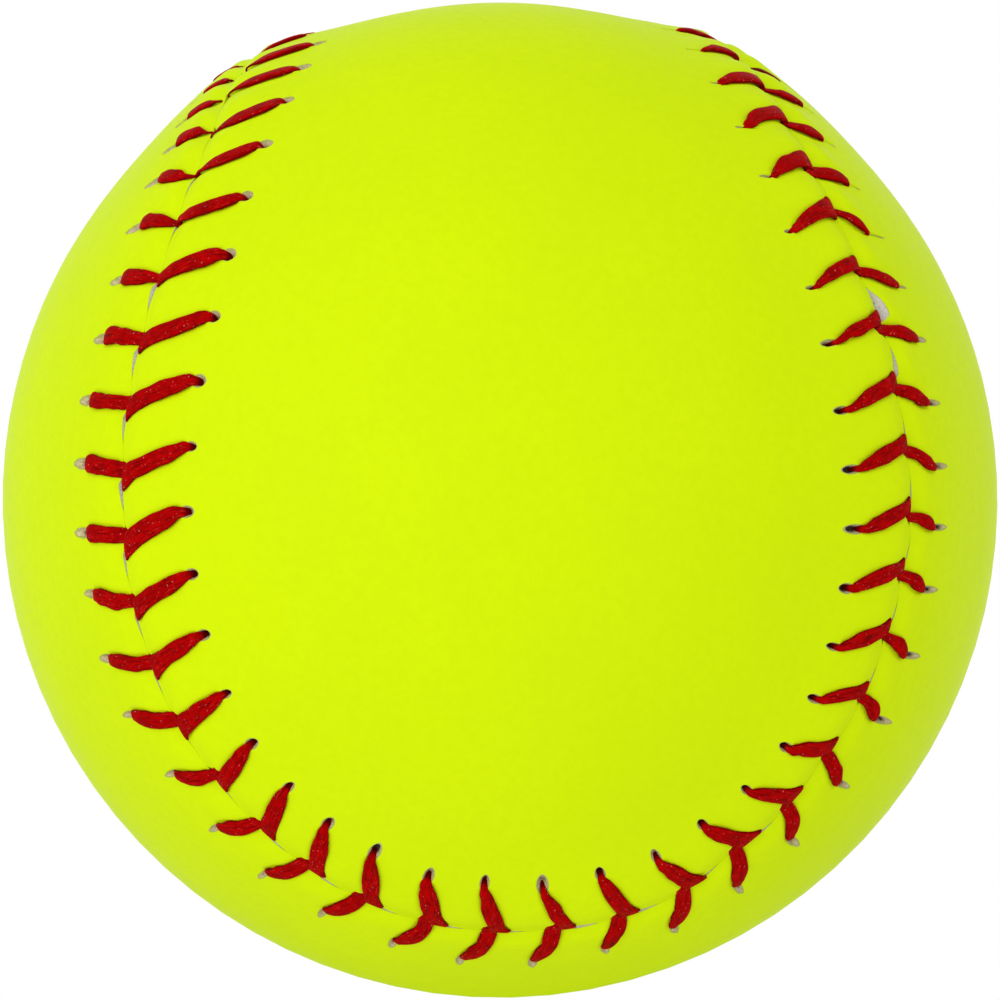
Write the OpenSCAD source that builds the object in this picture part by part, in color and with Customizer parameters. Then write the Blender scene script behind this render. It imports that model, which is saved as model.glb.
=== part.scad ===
// Softball: a moulded core, its yarn winding and cement coat, two dog-bone
// cover panels and the waxed thread that two needles sew through both of them.
// The origin is the centre of the ball. +Z runs through the neck of the first
// panel, and the seam crosses the X and Y axes.

/* [Ball] */
// Distance round the ball over its cover, away from the raised seam
ball_circumference = 304.8; // [279.4:0.1:406.4]
// Thickness of the cover away from the seam
cover_t = 1.8; // [1.4:0.1:2.4]
// Thickness of the dried cement under the cover
cement_t = 0.25; // [0.15:0.05:0.5]
// Thickness of the wound yarn
winding_t = 1.5; // [1:0.1:4]

/* [Seam] */
// Width of the slit between the two panels
seam_gap = 0.8; // [0.7:0.05:1.1]
// How far the outside of the cover is raised beside the slit
lip_h = 0.8; // [0.5:0.05:0.9]
// How far it is still raised at the slit, where the thread draws it down
edge_h = 0.4; // [0.3:0.05:0.5]
// How far the inside of the cover is raised to make room for the thread
room_h = 0.75; // [0.7:0.05:0.9]
// Distance from the middle of the slit to the top of the raise
lip_w = 3.2; // [2:0.1:4]
// Distance past the holes over which the raise runs out
fade_w = 2.6; // [2:0.1:4]

/* [Stitching] */
// Stitches in each panel, an even number
stitch_count = 88; // [80:2:92]
// Distance from the middle of the slit to each row of holes
hole_from_seam = 7.1; // [6:0.1:8]
// Diameter of a punched hole
hole_d = 1.3; // [1.2:0.05:1.6]
// Width of the thread where it lies on the cover
thread_w = 1.8; // [1.2:0.1:1.9]
// Thickness of the thread where it lies on the cover
thread_t = 0.6; // [0.4:0.05:0.7]
// Width of the thread where it is pinched, in a hole, the slit or the room below
pinched_w = 0.9; // [0.7:0.05:0.95]
// Thickness of the pinched thread
pinched_t = 0.42; // [0.3:0.02:0.45]

/* [Fits] */
// Clearance between the layers inside the ball
layer_gap = 0.05; // [0.03:0.01:0.1]
// Clearance between the cement and the flats of the cover's inner face
cover_seat_gap = 0.03; // [0.02:0.01:0.1]
// Clearance between the thread and the cover that it lies on
thread_gap = 0.12; // [0.1:0.01:0.2]

/* [Hidden] */

// Shape of the seam, as shares of the circle that it weaves about
seam_lobe_share = 0.454;
seam_rise_share = 1.135;
// How far the first hole lies past the X axis, as a share of the stitch pitch
stitch_phase_share = 0.17;
// Where a stitch from each panel enters the slit, as shares of the pitch
front_apex_share = 0.58;
back_apex_share = 0.28;
// The thread's last run under the cover stops at this share of its way
tail_share = 0.42;
// Raise of the outside of the cover beside the holes, as a share of the lip
lip_shoulder_share = 0.35;
// Where a stitch starts to widen, as a share of the way from the slit to the hole
leg_start_share = 0.8;
// Where it narrows again, as a share of the way from the slit to the lip's top
leg_end_share = 0.31;
// Its width at those places and between them, as shares of the thread's width
leg_width_shares = [0.72, 1, 0.9];
// Corners of the thread's flat section, as shares of its width and thickness
section_shares = [[0.5, 0], [0.24, 0.5], [-0.24, 0.5], [-0.5, 0], [-0.24, -0.5], [0.24, -0.5]];

// Radii of the cover
ball_r = ball_circumference / (2 * PI);
cover_in_r = ball_r - cover_t;
// Cutters run past the faces that they cut by the cover's own thickness
cut_over = cover_t;

// Counts of steps along the seam and across a panel
seam_steps = 720;
edge_stations = 176;
field_stations = edge_stations / 2;
field_columns = 10;
round_fn = 128;
bore_fn = 24;

function unit(v) = v / norm(v);

// Seam direction from the centre of the ball, for an angle round it
function seam_dir(a) = unit([
    cos(a) + seam_lobe_share * cos(3 * a),
    sin(a) - seam_lobe_share * sin(3 * a),
    seam_rise_share * sin(2 * a)
]);

// Table that turns a length along the seam into that angle
step_angle = 360 / seam_steps;
function seam_chord(i) = ball_r * norm(seam_dir((i + 1) * step_angle) - seam_dir(i * step_angle));
seam_table = [
    for (i = 0, along = 0; i <= seam_steps; along = along + seam_chord(i), i = i + 1)
        [along, i * step_angle]
];
seam_length = seam_table[seam_steps][0];
pitch = seam_length / stitch_count;
first_hole = stitch_phase_share * pitch;

// Axes at a place along the seam: outwards, forwards and towards the front panel
function seam_axes(along) =
    let (
        angle = lookup(along - seam_length * floor(along / seam_length), seam_table),
        out = seam_dir(angle),
        ahead = seam_dir(angle + step_angle) - seam_dir(angle - step_angle),
        forward = unit(ahead - out * (ahead * out))
    )
    [out, forward, cross(out, forward)];

// Point at a length along the seam, a distance across it and a radius
function ball_point(along, across, r) =
    let (
        axes = seam_axes(along),
        turn = across / ball_r * 180 / PI
    )
    r * (axes[0] * cos(turn) + axes[2] * sin(turn));

function slerp(a, b, share) =
    let (whole = acos(max(-1, min(1, a * b))))
    (a * sin((1 - share) * whole) + b * sin(share * whole)) / sin(whole);

// Cover panels

// The room for the thread reaches one hole's diameter past the row of holes
room_end = hole_from_seam + hole_d;
ring_places = [seam_gap / 2, lip_w, room_end, room_end + fade_w];
outside_raises = [edge_h, lip_h, lip_h * lip_shoulder_share, 0];
inside_raises = [room_h, room_h, room_h, 0];
row_count = field_stations / 2 - 1;

function edge_ring(side, place, r) = [
    for (i = [0:edge_stations - 1])
        ball_point(seam_length * i / edge_stations, side * place, r)
];
function field_ring(side, place, r) = [
    for (i = [0:field_stations - 1])
        ball_point(seam_length * i / field_stations, side * place, r)
];

// The station at the tip of a panel's first lobe
function tip_station(side) = field_stations * (side > 0 ? 3 : 1) / 8;
function round_station(i) = (i + field_stations) % field_stations;

function field_points(side, ring, r) = [
    for (row = [1:row_count])
        for (column = [1:field_columns - 1])
            r * slerp(
                unit(ring[round_station(tip_station(side) + row)]),
                unit(ring[round_station(tip_station(side) - row)]),
                column / field_columns
            )
];

// All points of one face of a panel: two fine rings, two coarse ones and the field
function face_points(side, r, raises) =
    let (last = field_ring(side, ring_places[3], r + raises[3]))
    concat(
        edge_ring(side, ring_places[0], r + raises[0]),
        edge_ring(side, ring_places[1], r + raises[1]),
        field_ring(side, ring_places[2], r + raises[2]),
        last,
        field_points(side, last, r)
    );

// Numbers of those points
function edge_index(ring, i) = ring * edge_stations + i % edge_stations;
function field_index(ring, i) =
    2 * edge_stations + ring * field_stations + (i + field_stations) % field_stations;
function row_index(tip, row, column) =
    column == 0 ? field_index(1, tip + row) :
    column == field_columns ? field_index(1, tip - row) :
    2 * edge_stations + 2 * field_stations + (row - 1) * (field_columns - 1) + column - 1;

function face_triangles(tip) = concat(
    [for (i = [0:edge_stations - 1]) each [
        [edge_index(0, i), edge_index(0, i + 1), edge_index(1, i + 1)],
        [edge_index(0, i), edge_index(1, i + 1), edge_index(1, i)]
    ]],
    [for (i = [0:field_stations - 1]) each [
        [edge_index(1, 2 * i), edge_index(1, 2 * i + 1), field_index(0, i)],
        [edge_index(1, 2 * i + 1), field_index(0, i + 1), field_index(0, i)],
        [edge_index(1, 2 * i + 1), edge_index(1, 2 * i + 2), field_index(0, i + 1)]
    ]],
    [for (i = [0:field_stations - 1]) each [
        [field_index(0, i), field_index(0, i + 1), field_index(1, i + 1)],
        [field_index(0, i), field_index(1, i + 1), field_index(1, i)]
    ]],
    [for (row = [1:row_count - 1]) for (column = [0:field_columns - 1]) each [
        [row_index(tip, row, column), row_index(tip, row + 1, column), row_index(tip, row + 1, column + 1)],
        [row_index(tip, row, column), row_index(tip, row + 1, column + 1), row_index(tip, row, column + 1)]
    ]],
    [for (column = [0:field_columns - 1]) each [
        [field_index(1, tip), row_index(tip, 1, column), row_index(tip, 1, column + 1)],
        [
            field_index(1, tip + row_count + 1),
            row_index(tip, row_count, column + 1),
            row_index(tip, row_count, column)
        ]
    ]]
);

function turned(triangles) = [for (t = triangles) [t[0], t[2], t[1]]];
function shifted(triangles, by) = [for (t = triangles) [t[0] + by, t[1] + by, t[2] + by]];

module panel_blank(side) {
    outside = face_points(side, ball_r, outside_raises);
    inside = face_points(side, cover_in_r, inside_raises);
    face = face_triangles(tip_station(side));
    wall = [for (i = [0:edge_stations - 1]) each [
        [edge_index(0, i + 1), edge_index(0, i), len(outside) + edge_index(0, i)],
        [edge_index(0, i + 1), len(outside) + edge_index(0, i), len(outside) + edge_index(0, i + 1)]
    ]];
    shell = concat(face, shifted(turned(face), len(outside)), wall);
    polyhedron(points = concat(outside, inside), faces = side > 0 ? turned(shell) : shell);
}

module stitch_hole(along, side) {
    axis = unit(ball_point(along, side * hole_from_seam, ball_r));
    rotate([0, acos(axis[2]), atan2(axis[1], axis[0])])
        translate([0, 0, cover_in_r - cut_over])
            cylinder(d = hole_d, h = cover_t + 2 * cut_over, $fn = bore_fn);
}

module cover_panel(side) {
    difference() {
        panel_blank(side);
        for (i = [0:stitch_count - 1])
            stitch_hole(first_hole + i * pitch, side);
    }
}

// Layers under the cover, which its flats touch between their corners

plain_start = 2 * edge_stations + field_stations;
plain_points = face_points(1, cover_in_r, inside_raises);
function flat_r(a, b, c) = min(norm(a + b) / 2, norm(b + c) / 2, norm(c + a) / 2, norm(a + b + c) / 3);
nearest_flat_r = min([
    for (t = face_triangles(tip_station(1)))
        if (min(t) >= plain_start)
            flat_r(plain_points[t[0]], plain_points[t[1]], plain_points[t[2]])
]);
cement_r = nearest_flat_r - cover_seat_gap;
winding_r = cement_r - cement_t - layer_gap;
core_r = winding_r - winding_t - layer_gap;

// Thread

// Radii of the thread's middle line on the cover and in the room under it
function lip_raise(across) =
    lookup(abs(across), [for (i = [0:len(ring_places) - 1]) [ring_places[i], outside_raises[i]]]);
function over_r(across) = ball_r + lip_raise(across) + thread_gap + thread_t / 2;
under_r = (cement_r + cover_in_r + room_h) / 2;

leg_places = [hole_from_seam * leg_start_share, lip_w, lip_w * leg_end_share];

// Rings of one stitch, from below its hole to below the slit, each as
// [length along the seam, distance across it, radius, width, thickness]
function stitch_rings(along, side) =
    let (apex = pitch * (side > 0 ? front_apex_share : back_apex_share))
    concat(
        [
            [along, side * hole_from_seam, under_r, pinched_w, pinched_t],
            [along, side * hole_from_seam, over_r(hole_from_seam), pinched_w, pinched_t]
        ],
        [for (i = [0:len(leg_places) - 1]) [
            along + apex * (1 - leg_places[i] / hole_from_seam),
            side * leg_places[i],
            over_r(leg_places[i]),
            thread_w * leg_width_shares[i],
            thread_t
        ]],
        [
            [along + apex, 0, over_r(0) - thread_gap, pinched_w, pinched_t],
            [along + apex, 0, under_r, pinched_w, pinched_t]
        ]
    );

// The ring at the thread's end, part of the way from the slit to the next hole
function tail_ring(along, side) =
    let (apex = pitch * (side > 0 ? front_apex_share : back_apex_share))
    [
        along + apex + (pitch - apex) * tail_share,
        -side * hole_from_seam * tail_share,
        under_r,
        pinched_w,
        pinched_t
    ];

// The whole run of one needle, which starts at the given panel's first hole
function run_rings(first_side) = concat(
    [
        [first_hole, first_side * layer_gap, under_r, pinched_w, pinched_t],
        [first_hole, first_side * hole_from_seam / 2, under_r, pinched_w, pinched_t]
    ],
    [for (i = [0:stitch_count - 1])
        each stitch_rings(first_hole + i * pitch, first_side * (i % 2 == 0 ? 1 : -1))
    ],
    [tail_ring(first_hole + (stitch_count - 1) * pitch, -first_side)]
);

module thread_run(first_side) {
    rings = run_rings(first_side);
    last = len(rings) - 1;
    sides = len(section_shares);
    middles = [for (ring = rings) ball_point(ring[0], ring[1], ring[2])];
    points = [
        for (i = [0:last])
            let (
                before = i == 0 ? [0, 0, 0] : unit(middles[i] - middles[i - 1]),
                after = i == last ? [0, 0, 0] : unit(middles[i + 1] - middles[i]),
                ahead = unit(before + after),
                forward = seam_axes(rings[i][0])[1],
                wide = unit(forward - ahead * (forward * ahead)),
                thick = cross(ahead, wide)
            )
            for (corner = section_shares)
                middles[i] + wide * (corner[0] * rings[i][3]) + thick * (corner[1] * rings[i][4])
    ];
    skin = [
        for (i = [0:last - 1]) for (j = [0:sides - 1])
            let (
                a = i * sides + j,
                b = i * sides + (j + 1) % sides
            )
            each [[a, b + sides, b], [a, a + sides, b + sides]]
    ];
    ends = [
        for (j = [1:sides - 2]) each [
            [0, j, j + 1],
            [last * sides, last * sides + j + 1, last * sides + j]
        ]
    ];
    polyhedron(points = points, faces = concat(skin, ends));
}

// Pieces

module polyurethane_core() {
    color("wheat")
        sphere(r = core_r, $fn = round_fn);
}

module yarn_winding() {
    color("gainsboro")
        difference() {
            sphere(r = winding_r, $fn = round_fn);
            sphere(r = winding_r - winding_t, $fn = round_fn);
        }
}

module cement_coat() {
    color("khaki")
        difference() {
            sphere(r = cement_r, $fn = round_fn);
            sphere(r = cement_r - cement_t, $fn = round_fn);
        }
}

module cover_panel_front() {
    color([0.83, 0.96, 0.08])
        cover_panel(1);
}

module cover_panel_back() {
    color([0.80, 0.93, 0.10])
        cover_panel(-1);
}

module thread_first_needle() {
    color([0.72, 0.04, 0.07])
        thread_run(1);
}

module thread_second_needle() {
    color([0.68, 0.03, 0.06])
        thread_run(-1);
}

// Where the two runs pass each other in the slit, this much is between them
echo(least_thread_gap = pitch * (front_apex_share - back_apex_share) - pinched_w);
echo(pitch = pitch, seam_length = seam_length, core_d = 2 * core_r);

polyurethane_core();
yarn_winding();
cement_coat();
cover_panel_front();
cover_panel_back();
thread_first_needle();
thread_second_needle();
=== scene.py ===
"""The looks of the softball: its stitched cover, its waxed thread and the studio round it.

All shapes are worked out in millimetres on a ball about the origin. A place near the seam is given by the
length along the seam, the distance across it and the height above the plain ball. Distances across are
positive on the front panel and negative on the back panel.
"""

import math

import bpy
import numpy as np
from mathutils import Matrix, Vector


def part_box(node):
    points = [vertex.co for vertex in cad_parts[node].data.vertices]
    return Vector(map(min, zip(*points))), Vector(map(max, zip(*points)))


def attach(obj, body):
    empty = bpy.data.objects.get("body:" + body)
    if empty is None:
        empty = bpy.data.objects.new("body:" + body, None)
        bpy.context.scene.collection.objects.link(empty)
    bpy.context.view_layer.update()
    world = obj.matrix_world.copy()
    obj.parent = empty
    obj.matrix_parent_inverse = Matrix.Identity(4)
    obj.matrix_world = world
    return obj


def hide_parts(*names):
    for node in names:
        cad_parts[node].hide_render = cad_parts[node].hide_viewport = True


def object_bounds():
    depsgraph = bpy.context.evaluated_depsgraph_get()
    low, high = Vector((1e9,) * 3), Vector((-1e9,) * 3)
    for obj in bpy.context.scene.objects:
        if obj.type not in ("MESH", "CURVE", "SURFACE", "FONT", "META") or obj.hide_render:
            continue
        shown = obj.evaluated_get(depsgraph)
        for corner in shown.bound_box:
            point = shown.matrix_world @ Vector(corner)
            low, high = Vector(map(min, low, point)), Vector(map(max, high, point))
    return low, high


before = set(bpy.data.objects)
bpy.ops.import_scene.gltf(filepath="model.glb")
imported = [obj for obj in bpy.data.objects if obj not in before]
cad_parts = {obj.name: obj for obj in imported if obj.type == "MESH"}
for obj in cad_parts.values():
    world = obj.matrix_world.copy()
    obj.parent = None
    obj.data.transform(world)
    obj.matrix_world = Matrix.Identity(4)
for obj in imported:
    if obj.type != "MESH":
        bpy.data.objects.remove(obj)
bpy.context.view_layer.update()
scene = bpy.context.scene

mm = 0.001
full_turn = 2 * math.pi
front, back = 1, -1

# Camera, as the photograph shows the ball
view_azimuth = math.radians(132.24)
view_elevation = math.radians(-11.24)
view_roll = math.radians(2.28)
view_distance_share = 8.15
photo_width_px = 1000
ball_radius_px = 497.5
sensor_width = 36

# Ball and cover, with the room for the thread inside the cover
ball_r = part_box("cover_panel_front")[1][2] / mm
cover_t = 1.8
cover_room_h = 0.75
room_end = 8.4
room_fade = 2.6

# Seam, as the construction has it
seam_lobe_share = 0.454
seam_rise_share = 1.135
stitch_count = 88
stitch_phase_share = 0.17
seam_steps = 7200
seam_search_step = 4

# The first stitch that the photograph shows in full. The tables of what it shows count from that one. Past
# both their ends, their values fade to the unseen ones over some stitches.
first_seen = 14
unseen_fade = 6

# How far the slit lies off the seam's line at some of the stitches, towards the front panel
strays_seen = {
    0: -0.4, 1: -0.5, 2: 0, 3: 0.4, 5: 0.15, 8: -0.6, 10: -0.4, 12: 0.1, 14: 0.4, 16: 0, 18: -0.25, 21: 0.1,
    22: 1.35, 24: 1.2, 26: 0.75, 28: -0.35, 31: -0.4, 32: 0.5, 34: 0.75, 36: 0.1,
}
# What lies nearer to the slit than the first distance moves with it, and nothing past the second does
stray_band = (0.5, 11)
# How far the stitches are ahead of an even pitch
drifts_seen = {
    0: 1.7, 1: 1.2, 2: 0.8, 3: 0.6, 5: 0.3, 7: 0, 10: 0, 11: 0.05, 12: 0.3, 13: 0.25, 15: 0, 16: -0.28,
    17: 0.13, 18: 0.15, 19: 0.4, 21: 0.9, 24: 1.05, 26: 0.6, 27: 0.65, 29: 0.05, 30: -0.5, 31: -0.35,
    32: -1.05, 33: -1.5, 35: -2.1,
}
# Where each stitch's back hole, back leg and front leg lie along the seam, counted from its front hole
back_holes_seen = {
    1: 1.9, 2: 1.5, 3: 0.75, 4: 1, 7: 1.6, 9: 1.4, 11: 0.5, 12: -0.5, 17: -0.4, 21: -1.4, 24: -0.5,
    26: 0.5, 29: 0, 31: 0.2, 33: 0.3, 34: 0.65, 35: 1.3,
}
back_legs_seen = {
    1: 1, 2: 1.8, 3: 2.1, 4: 1.9, 5: 1.7, 7: 2, 10: 1.9, 12: 1, 15: 1.1, 17: 1.6, 20: 0.7, 24: 1.2,
    26: 2, 28: 1.2, 30: 1.7, 31: 1.1, 32: 1.7, 33: 2.8, 34: 1.15, 35: 2,
}
front_legs_seen = {
    1: 0.7, 2: 2.6, 3: 2.1, 4: 1.55, 6: 2.4, 9: 2.9, 12: 1.9, 14: 2.6, 16: 2.8, 20: 1.8, 22: 2.7, 24: 2.3,
    26: 2.9, 28: 2.1, 30: 2.5, 31: 2, 33: 2.7, 34: 2.4, 35: 2.9,
}
# How far over the slit's line each back leg goes in, under the edge of the front panel
back_tucks_seen = {
    8: 0, 11: 0.1, 12: 0.3, 13: 0.9, 14: 0.4, 15: 0.6, 16: 0.6, 17: 0.9, 19: 0.5, 21: 0.7, 24: 0.3,
    26: 0.5, 28: 0.4, 30: 0.6, 31: 0.9, 32: 0.3, 34: 0.9, 35: 0.6, 36: 0.3,
}
# How far the holes are from the slit, and at which share of that way the thread goes in
front_holes_off = {
    -1: 5.9, 0: 7.9, 1: 7.7, 2: 7.6, 3: 7.3, 4: 7.2, 6: 7.7, 9: 7.2, 12: 6.9, 13: 6.4, 14: 6.75, 15: 6.6,
    16: 7.2, 17: 6.6, 18: 7.1, 22: 6.85, 23: 6.6, 24: 6.3, 25: 6.7, 28: 7.5, 30: 7.9, 33: 7.4, 34: 7.5,
    35: 7.4, 37: 6.8,
}
back_holes_off = {
    0: 4.4, 2: 4.6, 3: 5.2, 5: 5.4, 6: 5.5, 7: 6, 9: 6, 10: 5.6, 11: 5.9, 12: 5.6, 13: 4.3, 15: 4.85,
    17: 5.1, 18: 5.85, 19: 6.1, 20: 5.1, 21: 5.5, 22: 5.2, 23: 4.25, 25: 4.4, 27: 4.9, 30: 5.6, 31: 5.5,
    33: 5.1, 35: 4.6,
}
front_reach_seen = {
    0: 0.97, 1: 0.98, 2: 0.96, 3: 0.95, 4: 1, 5: 0.98, 9: 1, 12: 0.98, 13: 0.96, 15: 0.96, 16: 0.9,
    17: 0.93, 18: 0.95, 19: 0.88, 20: 0.95, 21: 0.91, 22: 0.95, 23: 0.92, 26: 0.92, 27: 0.94, 28: 0.86,
    30: 0.92, 31: 0.9, 33: 0.97, 34: 0.87, 35: 0.92, 36: 0.94, 37: 0.84, 38: 0.84,
}
back_reach_seen = {
    2: 1, 3: 0.96, 4: 0.93, 6: 1, 8: 0.94, 11: 1, 15: 0.95, 22: 0.94, 24: 0.86, 25: 0.66, 26: 0.74,
    28: 0.75, 30: 0.82, 31: 0.92, 32: 0.98, 33: 0.65, 34: 0.88, 37: 0.9,
}
# Width of a leg near its hole, all along it and at its toe in the slit, as shares of the usual
front_ends_seen = {
    2: 1.15, 7: 1, 12: 0.9, 19: 0.8, 27: 0.9, 31: 0.75, 35: 0.85, 36: 0.8, 37: 0.65, 38: 0.6,
}
back_ends_seen = {
    -1: 0.5, 0: 0.7, 1: 1, 2: 1.2, 9: 1.1, 10: 0.9, 11: 0.95, 13: 0.72, 20: 0.72, 26: 0.75, 28: 0.65,
    31: 0.65, 32: 0.65, 33: 0.3, 34: 0.6, 35: 0.5, 36: 0.35, 37: 0.4, 38: 0.4, 40: 0.9,
}
front_widths_seen = {
    5: 1, 6: 1.08, 8: 1.05, 9: 1.15, 10: 1, 21: 1, 22: 0.9, 24: 1, 25: 0.82, 26: 0.85, 27: 0.97, 28: 0.86,
    29: 0.92, 30: 0.87, 31: 0.78, 32: 0.8, 33: 1, 35: 1, 36: 0.88, 37: 0.7, 39: 1,
}
back_widths_seen = {
    -1: 0.8, 2: 1, 22: 1, 24: 0.9, 27: 0.88, 28: 0.8, 32: 0.8, 33: 0.6, 34: 1, 35: 0.9, 37: 0.8, 39: 1,
}
front_toes_seen = {
    -3: 0.15, 1: 0.12, 2: 0.2, 3: 0.35, 4: 0.6, 8: 1.1, 12: 1.1, 13: 0.9, 19: 0.9, 22: 1.3, 24: 1.05,
    27: 0.65, 29: 0.85, 31: 1, 34: 1.3,
}
back_toes_seen = {
    -3: 0.2, 1: 0.15, 2: 0.15, 3: 0.25, 4: 0.5, 5: 0.75, 8: 1, 24: 1, 25: 0.7, 30: 0.9, 32: 0.8,
    33: 0.65, 34: 0.8, 36: 0.5, 37: 0.3, 38: 0.3, 40: 1,
}
# How far from the slit the legs of a stitch already go in between the panels
front_aparts_seen = {-2: 0.8, 0: 0.6, 1: 0.3, 2: 0, 33: 0, 37: 0.3}
back_aparts_seen = {-2: 1.8, 0: 1.4, 1: 1, 2: 0.6, 3: 0, 35: 0, 36: 0.2, 37: 1, 38: 1.6, 40: 0.2}
# How high the cover billows between two stitches, as a share of the usual
billows_seen = {-4: 1.6, 0: 1.4, 3: 1, 6: 0.5, 20: 0.5, 28: 0.6, 31: 1.2, 37: 1.5, 39: 2.6, 41: 1.5}
# How far a leg is bowed forwards, and how low one lies behind the bulge of the cover
front_bows_seen = {0: 0.2, 3: 0.3, 5: 0.1, 7: 0, 10: 0, 31: 0.1, 35: 0.5}
back_bows_seen = {
    1: -0.2, 5: 0, 12: 0.1, 17: 0.3, 21: 0, 27: 0, 28: -0.1, 30: -0.2, 32: 0, 33: -0.4, 34: 0.1, 36: 0,
}
front_sinks_seen = {38: 0, 39: 0.4, 40: 0.1, 41: 0}
back_sinks_seen = {-3: 0, -1: 0.1, 0: 0.08, 1: 0.03, 2: 0, 36: 0, 37: 0.3, 38: 0.4, 39: 0.3, 40: 0}
# Size of a hole, its painted shade, and how far the slit stands open past a stitch, as shares of the usual
front_pits_seen = {
    0: 1, 9: 1, 12: 0.9, 17: 1.05, 24: 0.95, 28: 0.9, 31: 0.6, 32: 0.4, 34: 0.25, 38: 0.2, 40: 0.9,
}
back_pits_seen = {
    1: 1.4, 8: 1.4, 10: 1.15, 12: 0.8, 15: 0.8, 18: 1, 24: 1, 28: 0.9, 31: 0.8, 33: 0.4, 35: 0.3,
    38: 0.3, 40: 1,
}
front_pit_shades_seen = {
    0: 1, 4: 0.9, 5: 0.7, 9: 0.65, 10: 1.5, 12: 2, 13: 1.3, 14: 0.4, 15: 0.5, 16: 2.4, 17: 0.5,
    18: 0.9, 19: 0.5, 20: 2.8, 21: 0.35, 22: 3, 23: 1.5, 24: 3, 27: 2.6, 28: 2, 29: 3.5, 30: 3.5,
    31: 1.2, 32: 1.4, 35: 1.4,
}
back_pit_shades_seen = {0: 0.6, 4: 0.8, 6: 1.2, 11: 1.4, 13: 1.2, 20: 1.4, 23: 1.9, 28: 2.4, 31: 2, 35: 1.4}
wedges_seen = {
    0: 0.2, 4: 0.35, 5: 1.1, 6: 1.1, 7: 0.8, 8: 1.2, 9: 0.8, 12: 0.4, 18: 0.5, 19: 0.8, 22: 0.6, 23: 0.2,
    28: 0.3, 29: 0.4, 30: 1.5, 31: 5.6, 32: 0.1, 35: 0.2,
}

# Raise of the cover along the seam, with the valley at the slit
lip_h = 1.0
lip_spread = {front: 6.8, back: 10.5}
lip_power = 2.4
valley_h = 0.45
valley_w = 1.2

# Slit between the panels. Where a leg goes in it pushes one edge aside, further if its toe is wide.
slit_half = 0.004
aside = {front: 0.46, back: 0.1}
aside_half_l = {front: 1.08, back: 1.35}
aside_toe_gain, aside_toe_loss = 1.6, 0.6
aside_late = 0.05
edge_round = 0.03
edge_round_w = 0.07

# Past a front leg the slit stands open in a wedge, which starts and ends between these distances
wedge_half = 0.42
wedge_most = 1.9
wedge_early = 0.08
wedge_late = 0.55
wedge_start_band = (-0.6, 0.3)
wedge_end_band = (0.2, 3.3)

# Pits of the punched holes. A band below is in shares of a pit's own half width or length.
pit_half_w = {front: 0.54, back: 0.33}
pit_out = {front: 0.74, back: 1.28}
pit_in = {front: 0.6, back: 0.9}
pit_taper = {front: 0.1, back: 0.18}
pit_taper_most = 1.3
pit_depth = 1.0
pit_wall_top, pit_wall_w = 1.04, 0.6
pit_bare_band = (0.7, 1.25)
# The painted shade in a pit grows over this share of the way in from its edge
pit_shade_w = 0.9
pit_rim_h = 0.04
pit_rim_at, pit_rim_w = 1.25, 0.2
# A pit is shallower on its far side, where the thread doesn't go in
pit_far_share = 0.35
pit_far_band = (-0.9, 0.5)

# Marks that the legs leave on the cover, from the slit to the hole
mark_slit_band = (0.1, 0.6)
mark_hole_band = (0.86, 0.98)
mark_slant_share = 0.95
groove_h = 0.15
groove_in_share, groove_out = 0.85, 0.2
ridge_h = 0.03
ridge_off, ridge_w = 0.5, 0.35

# Billows of the cover between two stitches
billow_h = 0.3
billow_low_share = 0.6
billow_spread = 3.2
billow_slit_share = 0.5
billow_slit_w = 0.9

# Rings of a panel, by their distance from the slit's edge. They are close together there and at the holes.
edge_rings = (0, 0.05, 0.14, 0.28, 0.5, 0.85, 1.35)
middle_start = 2.0
middle_count = {front: 6, back: 4}
fine_step = {front: 0.175, back: 0.23}
fine_in_share, fine_out_share = 1.7, 1.4
outer_rings = (0.35, 1.0, 2.0, 3.4)
past_outer_rings = (1.0, 2.6)
# Nearer than this, the rings follow the edge of the slit where it stands open
opened_reach = 3.0
# First rings of the inside
inner_rings = (0.7, 1.5)

# Rings down the wall of the slit: share of the way down, share of the way to its middle, and how bare
wall_rings = ((0.04, 0.06, 0), (0.12, 0.22, 0), (0.42, 0.72, 0.7), (1, 1, 1))
wide_open_band = (0.06, 0.2)
wall_bare = 2
# Painted shade at the foot of the slit's wall, less further up
wall_painted_shade = 0.8

# Stations along the seam, and the steps between those that the two kinds of rings past the stitches keep
stations_per_stitch = 30
station_crowding = 0.09
middle_step, coarse_step = 3, 15

# Columns across the middle of a panel. The tip of one of its lobes lies this many eighths along the seam.
field_columns = 10
field_fan = 11
lobe_tip_eighth = {front: 3, back: 1}

seed = 12


def unit(v):
    return v / np.linalg.norm(v, axis=-1, keepdims=True)


def smooth(x, low, high):
    t = np.clip((x - low) / (high - low), 0, 1)
    return t * t * (3 - 2 * t)


def bell(x, width):
    return np.exp(-((x / width) ** 2))


# Seam

def seam_dir(angle):
    return unit(np.stack([
        np.cos(angle) + seam_lobe_share * np.cos(3 * angle),
        np.sin(angle) - seam_lobe_share * np.sin(3 * angle),
        seam_rise_share * np.sin(2 * angle),
    ], axis=-1))


seam_angles = np.linspace(0, full_turn, seam_steps + 1)
seam_chords = ball_r * np.linalg.norm(np.diff(seam_dir(seam_angles), axis=0), axis=1)
seam_places = np.concatenate([[0], np.cumsum(seam_chords)])
seam_length = seam_places[-1]
pitch = seam_length / stitch_count


def seam_axes(along):
    """Axes outwards, forwards and towards the front panel at each length along the seam."""
    angle = np.interp(np.mod(along, seam_length), seam_places, seam_angles)
    step = full_turn / seam_steps
    out = seam_dir(angle)
    ahead = seam_dir(angle + step) - seam_dir(angle - step)
    forward = unit(ahead - out * (ahead * out).sum(-1, keepdims=True))
    return out, forward, np.cross(out, forward)


# Stitches. The photograph sets those that it shows, and every one differs a little from the next.

rng = np.random.default_rng(seed)
stitches = np.arange(stitch_count)


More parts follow.
